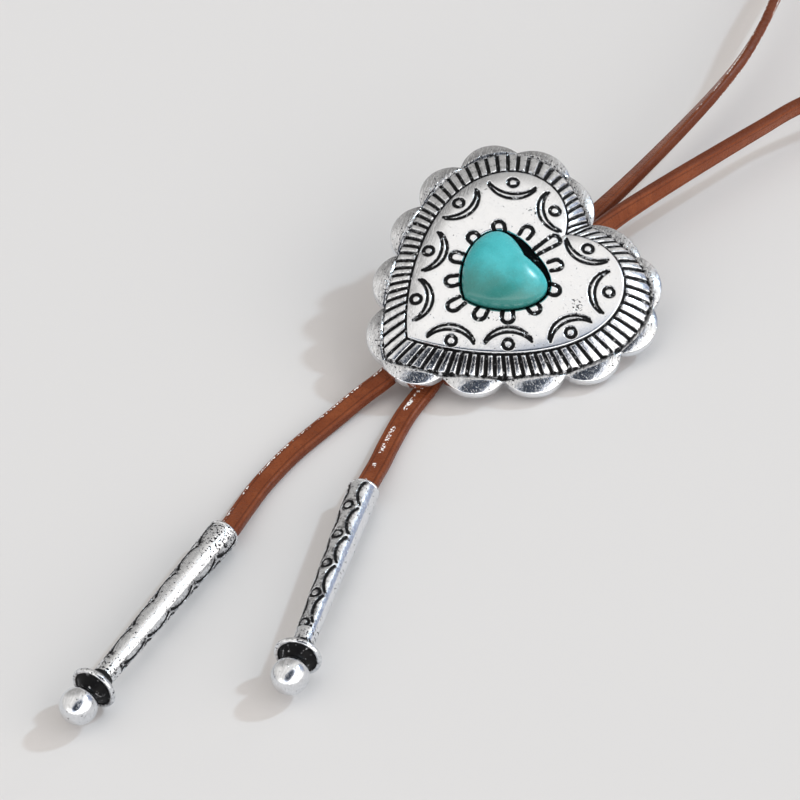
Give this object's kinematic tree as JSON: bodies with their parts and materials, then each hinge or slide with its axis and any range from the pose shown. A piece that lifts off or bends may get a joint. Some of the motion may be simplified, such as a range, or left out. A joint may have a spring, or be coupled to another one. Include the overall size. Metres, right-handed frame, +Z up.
{
  "type": "heart bolo tie necklace",
  "caption": "Bolo tie: scalloped heart slide with a turquoise-coloured stone on a flat leather lace with long metal tips, lying on a surface.",
  "frame": {"origin": "middle of the footprint of everything but the lace's two free ends, on the surface the tie lies on", "axes": "+Y from the slide toward the back of the neck, +Z up off the surface"},
  "size_m": [0.1436, 0.4264, 0.0201],
  "materials": {
    "silver": "antiqued silver-coloured casting, bright on top with black in the stamped lines",
    "turquoise": "polished turquoise-coloured cabochon",
    "leather": "reddish brown, waxed and slightly glossy"
  },
  "bodies": {
    "root": {"concho": "silver", "turquoise": "turquoise", "slide_clip": "silver", "neck_lace": "leather", "tail_left": "leather", "tail_right": "leather", "tip_left": "silver", "tip_right": "silver"}
  },
  "joints": []
}
